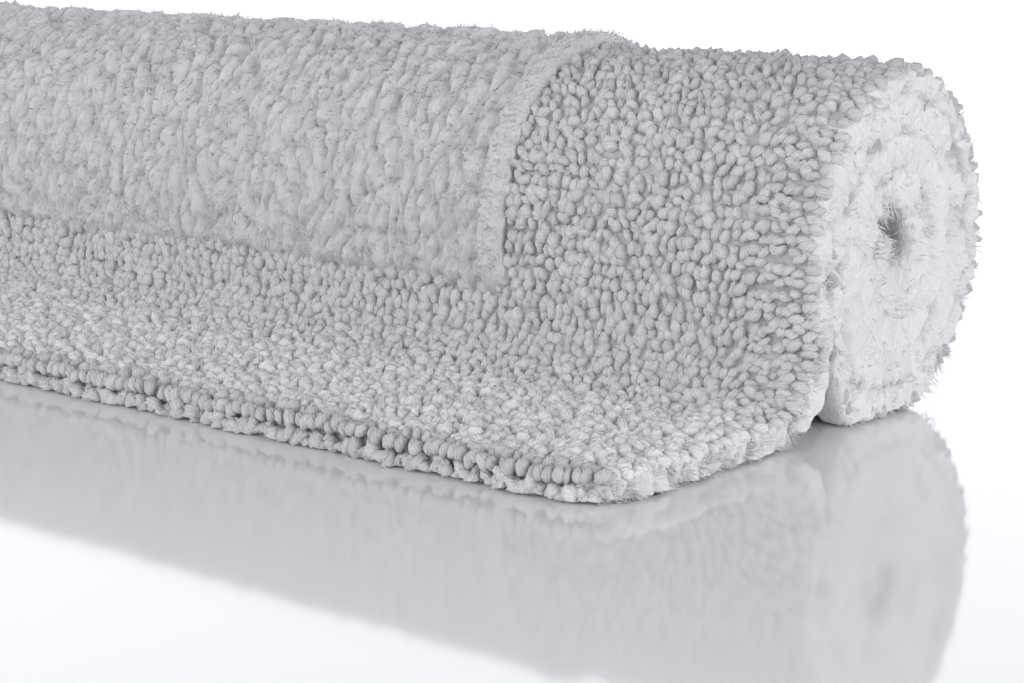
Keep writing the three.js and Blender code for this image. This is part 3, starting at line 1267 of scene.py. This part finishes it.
    def comb_rim(self, laid, shape, side, lengths, kinds, order):
        """Locks of the smooth rim, combed out over the loops beside it."""
        spacing = self.RIM_LOCK_SPACING * shape.pile.fibre_spacing
        inside, length = grid_of(
            (0, 0.8 * self.RIM_WIDTH), lengths, spacing, spacing, self.LOCK_JITTER, order)
        across = side * (self.half_panel(shape) - inside)
        total = len(across)
        outward = 0.6 + 2.2 * (1 - inside / self.RIM_WIDTH)
        outward = outward + order.normal(0, self.LEAN_SPREAD, total)
        root = self.surface(shape, across, length) - self.RIM_LOCK_SINK
        # painted light: the rim's locks are paler, most at the panel's edge
        laid.lay(
            kinds, across, length, root,
            (side * outward, order.normal(0, self.LEAN_SPREAD, total)),
            order.uniform(0, FULL_TURN, total), order.uniform(*self.RIM_LOCK_SIZES, total), order,
            tone=self.RIM_TONE * (1 - 0.4 * inside / self.RIM_WIDTH))


class MAT_OT_reverse_tufts(bpy.types.Operator):
    """Sets the cut pile of the reverse where it can be seen: under the free end and the bend"""

    bl_idname = "bath_mat.reverse_tufts"
    bl_label = "Reverse pile"

    KINDS = 10
    END_INSET = 8 * MM
    PAST_BEND = 8 * MM
    JITTER = 0.35
    LEAN_SPREAD = 0.9
    SIZES = (0.42, 0.55)

    def execute(self, context):
        shape = RolledShape()
        order = np.random.default_rng(shape.pile.seed + 2)
        kinds = bundles(
            self.KINDS, wispy_lock(), count=4, spread=1.7 * MM, splay=0.55, order=order)
        half = shape.half_width
        spacing = shape.pile.reverse_spacing
        lengths = (self.END_INSET, shape.bend_end + self.PAST_BEND)
        across, length = grid_of((-half, half), lengths, spacing, spacing, self.JITTER, order)
        total = len(across)
        lean = [order.normal(0, self.LEAN_SPREAD, total) for _ in range(2)]
        laid = Pile(shape)
        laid.lay(
            kinds, across, length, shape.cloth_bottom, lean, order.uniform(0, FULL_TURN, total),
            order.uniform(*self.SIZES, total), order, side=-1)
        made = laid.finish("reverse_pile_tufts", finish_named("reverse yarn"))
        bend_with_free_end(made, "reverse_pile")
        return DONE


SOFT_EDGE_SPLIT = 4 * MM


class MAT_OT_edge_fluff(bpy.types.Operator):
    """Fills out the soft edge along both sides, which closes the ends of the windings"""

    bl_idname = "bath_mat.edge_fluff"
    bl_label = "Edge fluff"

    FRONT_INSET = 1 * MM
    TOP_GAP = 0.5 * MM
    ROUNDS = 7
    STEP_ALONG = 1.5 * MM
    UNDER_LOOPS = 0.5
    WOUND_FILL = 1.06
    SIDE_INSET = 9 * MM
    REACH = 11 * MM
    FRONT_RUN = 8 * MM
    CORE_SWELL = 3.5
    BEND_SWELL = 6
    BEND_SWELL_AT = -12 * MM
    BEND_SWELL_REACH = 16 * MM
    EDGE_THICKNESS = 0.72
    THICKENED = 0.5
    FRONT_STEP = 0.02
    BUMPS = 0.45
    GRAIN = 0.5
    WAVER = 0.8
    FLAT_TO = 30 * MM
    OFF_FLOOR = 1.0 * MM

    def execute(self, context):
        shape = RolledShape()
        split = shape.bend_end + SOFT_EDGE_SPLIT
        heights = (0, shape.thickness - self.TOP_GAP)
        for label, side in SIDES:
            for place, lengths in (
                ("roll", (split, shape.inner_end)), ("free_end", (self.FRONT_INSET, split)),
            ):
                made = rolled_slab(
                    f"side_fluff_{label}_{place}", shape, (0, 1), lengths, heights, self.ROUNDS,
                    self.STEP_ALONG, "edge fluff", self.nose(shape, side, lengths[0]))
                if side < 0:
                    turn_faces_out(made)
                if place == "roll":
                    ride_roll(made, "reverse_pile")
                else:
                    bend_with_free_end(made, "reverse_pile")
        return DONE

    def nose(self, shape, side, start):
        """Rounds the slab's outer edge and roughens it. Where the face shows, the fluff stays
        below its loops, and further in it fills the whole winding."""
        split = shape.bend_end
        in_free_end = start < split
        low = (shape.cloth_top + self.UNDER_LOOPS * shape.sizes.loops) / shape.thickness
        inner = shape.half_width - self.SIDE_INSET

        def mould(share, length, height):
            out = np.sin(share * QUARTER_TURN)
            fill = low + (self.WOUND_FILL - low) * shape.covered_at(length)
            thin = self.EDGE_THICKNESS + self.THICKENED * np.sqrt(np.maximum(0, 1 - out ** 4))
            if in_free_end:
                from_front = (length - start) / self.FRONT_RUN
                thin = thin * np.sqrt(np.clip(from_front, self.FRONT_STEP, 1))
            centre = shape.thickness / 2 * fill
            height = centre + (height * fill - centre) * thin
            rough = ripple(height * 3, length, "swells")
            rough = rough + self.BUMPS * ripple(height * 2, length, "bumps")
            rough = rough + self.GRAIN * ripple(height, length, "grain")
            if in_free_end:
                rough = 1.5 * rough - 0.5
            x = side * (inner + out * (self.REACH + rough * MM))
            height = height + out * ripple(height, length, "waver") * self.WAVER * MM
            at_bend = bump_at(length - split, self.BEND_SWELL_AT, self.BEND_SWELL_REACH)
            swell = self.CORE_SWELL * shape.near_core(length) + self.BEND_SWELL * at_bend
            height = height - swell * out * (1 - height / shape.thickness) * MM
            if in_free_end:
                flat = length < split - self.FLAT_TO
                height = np.where(flat, np.maximum(height, self.OFF_FLOOR), height)
            return x, length, height

        return mould


class MAT_OT_edge_wisps(bpy.types.Operator):
    """Combs wisps out of the soft edge along the sides"""

    bl_idname = "bath_mat.edge_wisps"
    bl_label = "Edge wisps"

    KINDS = 10
    ROWS = ((0.05, -0.7), (0.25, -0.3), (0.5, 0.1), (0.72, 0.5), (0.95, 0.8))
    CROWDED = {"roll": 0.9, "free_end": 0.5}
    SCALED = {"roll": 1.0, "free_end": 0.95}
    SIZES = (0.5, 0.75)
    ROOTS = (-3.0, 0.3)
    OUTWARD = (0.3, 0.7)
    SPREAD = 0.4

    def execute(self, context):
        shape = RolledShape()
        lock = wispy_lock()
        split = shape.bend_end + SOFT_EDGE_SPLIT
        for label, side in SIDES:
            order = np.random.default_rng(shape.pile.seed + 3)
            kinds = bundles(
                self.KINDS, lock, count=5, spread=1.5 * MM, splay=0.3, order=order)
            rolled = self.wisps_between(
                label, "roll", shape, side, (split, shape.inner_end), kinds, order)
            ride_roll(rolled, "reverse_pile")
            free_end = self.wisps_between(label, "free_end", shape, side, (0, split), kinds, order)
            bend_with_free_end(free_end, "reverse_pile")
        return DONE

    def wisps_between(self, label, place, shape, side, lengths, kinds, order):
        """Rows of wisps through the mat's thickness. Where the face shows, those above the cloth
        lie flat under the edge loops."""
        spacing = shape.pile.wisp_spacing * self.CROWDED[place]
        count = round((lengths[1] - lengths[0]) / spacing)
        length = np.linspace(*lengths, count)
        laid = Pile(shape)
        for share, towards_face in self.ROWS:
            at = np.clip(length + order.uniform(-0.5, 0.5, count) * spacing, *lengths)
            covered = shape.covered_at(at)
            height = share * shape.thickness * (0.55 + 0.45 * covered)
            at_core = shape.near_core(at)
            towards = towards_face * (1 + covered) - 1.5 * at_core
            rise = np.minimum(towards, 0.1 + 2 * covered) + order.normal(0, self.SPREAD, count)
            x = side * (shape.half_width + order.uniform(*self.ROOTS, count) * MM)
            out = np.stack([
                side * order.uniform(*self.OUTWARD, count),
                ripple(x * 0, at, "wisps") * 0.6 + order.normal(0, self.SPREAD, count),
                rise,
            ], -1)
            turn = order.uniform(0, FULL_TURN, count)
            scale = self.SCALED[place] * order.uniform(*self.SIZES, count) * (1 + 0.3 * at_core)
            laid.lay(kinds, x, at, height, None, turn, scale, order, outward=out)
        return laid.finish(f"side_wisps_{label}_{place}", finish_named("reverse yarn"))


class MAT_OT_front_fringe(bpy.types.Operator):
    """Sets the reverse side's rows of curled tufts along the front edge, below the hem"""

    bl_idname = "bath_mat.front_fringe"
    bl_label = "Front fringe"

    KINDS = 10
    ROUGHNESS = 0.10
    SEED_STEP = 5
    SIDE_INSET = 3 * MM
    ROWS = (
        (2.6 * MM, 2.3 * MM, 1.0, 3.2 * MM),
        (3.4 * MM, 3.6 * MM, 0.9, 4.6 * MM),
        (4.5 * MM, 1.8 * MM, 0.6, 4.0 * MM),
    )
    SIZES = (0.85, 1.3)
    CORNER = 70 * MM
    CORNER_RUN = 60 * MM
    # painted light towards the corners, over painted shade along the rest of the front edge
    CORNER_TONE = 1.4

    def execute(self, context):
        shape = RolledShape()
        order = np.random.default_rng(shape.pile.seed + self.SEED_STEP)
        kinds = varied(model_yarn_loop(), self.KINDS, self.ROUGHNESS, order)
        half = shape.half_width - self.SIDE_INSET
        laid = Pile(shape)
        for length, height, forward, spacing in self.ROWS:
            count = round(2 * half / spacing)

            def off_by(amount):
                return order.normal(0, amount, count)

            across = np.linspace(-half, half, count) + off_by(0.7) * MM
            out = np.stack(
                [off_by(0.3), np.full(count, forward), off_by(0.3) + 1 - forward], -1)
            # painted shade along the fringe, and painted light growing towards both corners
            corner = ramp(np.abs(across) - half, -self.CORNER, self.CORNER_RUN)
            laid.lay(
                kinds, across, length + off_by(0.3) * MM, height + off_by(0.3) * MM, None,
                QUARTER_TURN + off_by(1.0), order.uniform(*self.SIZES, count), order, side=-1,
                outward=out, tone=self.CORNER_TONE * corner - 0.2)
        made = laid.finish("front_edge_fringe", finish_named("looped yarn"))
        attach(made, "free_end")
        return DONE


class MAT_OT_hems(bpy.types.Operator):
    """Turns the four hems and runs their thread"""

    bl_idname = "bath_mat.hems"
    bl_label = "Hems and thread"

    FRONT_INSET = 3.2 * MM
    SIDE_FRONT_INSET = 4 * MM
    END_SIDE_INSET = 1 * MM
    SIDE_INSET = 0.5 * MM
    TURNED_UNDER = 1.0 * MM
    TURNED_OVER = 0.4 * MM
    THREAD_BELOW = 1.5 * MM
    THREAD_WIDTH = 0.6 * MM
    SEAM_INSET = 1.4 * MM
    FRONT_SEAM_INSET = 2 * MM
    STEP_ALONG = 2.5 * MM
    STITCH = 4 * MM
    STITCH_DIP = 0.3 * MM
    STITCH_POINTS = 600

    def execute(self, context):
        shape = RolledShape()
        width, half, end = shape.sizes.hem, shape.half_width, shape.inner_end
        edges = (-half + self.END_SIDE_INSET, half - self.END_SIDE_INSET)
        for label, body, lengths, seam in (
            ("free_end", "free_end", (self.FRONT_INSET, width), width - self.FRONT_SEAM_INSET),
            ("inner_end", "roll", (end - width, end), end - width + self.SEAM_INSET),
        ):
            hem = self.hem(f"end_hem_{label}", shape, edges, lengths, STEPS_ACROSS)
            run = self.thread(
                f"end_thread_{label}", shape, edges, (seam, seam + self.THREAD_WIDTH),
                self.STITCH_POINTS, self.THREAD_WIDTH, self.stitched_across)
            for made, kind in ((hem, "hem"), (run, "hem_thread")):
                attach(made, body)
                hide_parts(f"{kind}_{label}")
        lengths = (self.SIDE_FRONT_INSET, end)
        seam = half - width + self.SEAM_INSET
        for label, side in SIDES:
            edges = sorted((side * (half - width), side * (half - self.SIDE_INSET)))
            hem = self.hem(f"side_hem_{label}", shape, edges, lengths, columns=4)
            edges = sorted((side * seam, side * (seam + self.THREAD_WIDTH)))
            run = self.thread(
                f"side_thread_{label}", shape, edges, lengths, 1, 1 * MM, self.stitched_along)
            bend_with_free_end(hem, "hem", *all_three(f"side_hem_{label}"))
            bend_with_free_end(run, "hem_thread", *all_three(f"hem_thread_{label}"))
        return DONE

    def hem(self, name, shape, edges, lengths, columns):
        heights = (shape.cloth_bottom - self.TURNED_UNDER, shape.cloth_top + self.TURNED_OVER)
        return rolled_slab(
            name, shape, edges, lengths, heights, columns, self.STEP_ALONG, "hem cloth")

    def thread(self, name, shape, edges, lengths, columns, step, stitched):
        heights = (shape.cloth_bottom - self.THREAD_BELOW, shape.cloth_bottom - self.TURNED_UNDER)
        return rolled_slab(
            name, shape, edges, lengths, heights, columns, step, "sewing thread", stitched)

    def stitched_across(self, x, length, height):
        """The thread dips into the hem at each stitch of a run across the mat."""
        return x, length, height + self.STITCH_DIP * np.sin(x * FULL_TURN / self.STITCH)

    def stitched_along(self, x, length, height):
        """The thread dips into the hem at each stitch of a run along the mat."""
        return x, length, height + self.STITCH_DIP * np.sin(length * FULL_TURN / self.STITCH)


class MAT_OT_stage(bpy.types.Operator):
    """Sets the floor, the soft light and the camera"""

    bl_idname = "bath_mat.stage"
    bl_label = "Stage"

    SCREEN_EDGES = (0.37, 0.55)
    SCREEN_LIGHT = (2.0, 0.14)
    SKY_COLOUR = (0.97, 0.98, 1.0, 1)
    FLOOR_SIZE = 12
    LENS = 78.34
    SENSOR = 36
    EYE = (0.6669, -0.5861, 0.1689)
    LOOKS_DOWN = math.radians(11.29)
    LOOKS_LEFT = math.radians(39.90)
    NEAREST = 0.01

    def execute(self, context):
        self.add_floor()
        self.add_light("key softbox", (1.7, -0.1, 0.5), (0.2, 0.0, 0.05), size=1.3, power=5.2)
        self.add_light("front fill", (-0.05, -0.75, 0.42), (0.0, -0.06, 0.02), size=0.6, power=1.15)
        world = context.scene.world or bpy.data.worlds.new("studio")
        context.scene.world = world
        world.use_nodes = True
        self.wire_studio_light(world.node_tree)
        self.add_camera()
        context.scene.view_settings.view_transform = "Standard"
        return DONE

    def wire_studio_light(self, tree):
        """Soft light from all round, brighter low down, as from white screens by the floor."""
        direction = add_node(tree, "ShaderNodeTexCoord").outputs["Generated"]
        parts = add_node(tree, "ShaderNodeSeparateXYZ", {"Vector": direction})
        strength = ranged(tree, parts.outputs["Z"], *self.SCREEN_EDGES, *self.SCREEN_LIGHT)
        fill_inputs(tree, tree.nodes["Background"], {
            "Strength": strength, "Color": self.SKY_COLOUR,
        })

    def add_floor(self):
        deselect_everything()
        bpy.ops.mesh.primitive_plane_add(size=self.FLOOR_SIZE, location=(0, 0, 0))
        floor = bpy.context.object
        floor.name = "floor"
        material = bpy.data.materials.new("pale floor")
        material.use_nodes = True
        fill_inputs(material.node_tree, material.node_tree.nodes["Principled BSDF"], {
            "Base Color": (*bpy.context.scene.mat_colours.floor, 1),
            "Roughness": 0.06, "Specular IOR Level": 1.0,
        })
        floor.data.materials.append(material)

    def add_light(self, name, place, target, size, power):
        data = bpy.data.lights.new(name, "AREA")
        data.shape = "DISK"
        data.size = size
        data.energy = power
        lamp = bpy.data.objects.new(name, data)
        bpy.context.scene.collection.objects.link(lamp)
        lamp.location = place
        lamp.visible_glossy = False
        away = np.array(place) - np.array(target)
        flat = math.hypot(away[0], away[1])
        heading = math.atan2(away[1], away[0]) + QUARTER_TURN
        lamp.rotation_euler = (math.atan2(flat, away[2]), 0, heading)

    def add_camera(self):
        """Looks down the roll from its right-hand front, with a portrait lens."""
        data = bpy.data.cameras.new("camera")
        data.lens = self.LENS
        data.sensor_width = self.SENSOR
        data.clip_start = self.NEAREST
        camera = bpy.data.objects.new("camera", data)
        bpy.context.scene.collection.objects.link(camera)
        camera.location = self.EYE
        camera.rotation_euler = (QUARTER_TURN - self.LOOKS_DOWN, 0, self.LOOKS_LEFT)
        bpy.context.scene.camera = camera


class MAT_PT_panel(bpy.types.Panel):
    """Lists the mat's sizes and the operators that make its pieces"""

    bl_idname = "MAT_PT_bath_mat"
    bl_label = "Rolled bath mat"
    bl_space_type = "VIEW_3D"
    bl_region_type = "UI"
    bl_category = "Bath mat"

    def draw(self, context):
        layout = self.layout
        for group in ("mat_sizes", "mat_roll", "mat_pile", "mat_colours"):
            box = layout.box()
            owner = getattr(context.scene, group)
            for name in owner.__annotations__:
                box.prop(owner, name)
        for step in STEPS:
            layout.operator(step.bl_idname)


GROUPS = {
    "mat_sizes": MatSizes,
    "mat_roll": RollShape,
    "mat_pile": PileSettings,
    "mat_colours": MatColours,
}
STEPS = (
    MAT_OT_stage,
    MAT_OT_ground_cloth,
    MAT_OT_pile_beds,
    MAT_OT_hems,
    MAT_OT_border_loops,
    MAT_OT_panel_pile,
    MAT_OT_reverse_tufts,
    MAT_OT_edge_fluff,
    MAT_OT_edge_wisps,
    MAT_OT_front_fringe,
)


def register():
    for name, group in GROUPS.items():
        bpy.utils.register_class(group)
        setattr(bpy.types.Scene, name, PointerProperty(type=group))
    for step in STEPS:
        bpy.utils.register_class(step)
    bpy.utils.register_class(MAT_PT_panel)


def unregister():
    bpy.utils.unregister_class(MAT_PT_panel)
    for step in reversed(STEPS):
        bpy.utils.unregister_class(step)
    for name, group in GROUPS.items():
        delattr(bpy.types.Scene, name)
        bpy.utils.unregister_class(group)


def main():
    register()
    bpy.ops.bath_mat.stage()
    bpy.ops.bath_mat.ground_cloth()
    bpy.ops.bath_mat.pile_beds()
    bpy.ops.bath_mat.hems()
    bpy.ops.bath_mat.border_loops()
    bpy.ops.bath_mat.panel_pile()
    bpy.ops.bath_mat.reverse_tufts()
    bpy.ops.bath_mat.edge_fluff()
    bpy.ops.bath_mat.edge_wisps()
    bpy.ops.bath_mat.front_fringe()


if __name__ == "__main__":
    main()
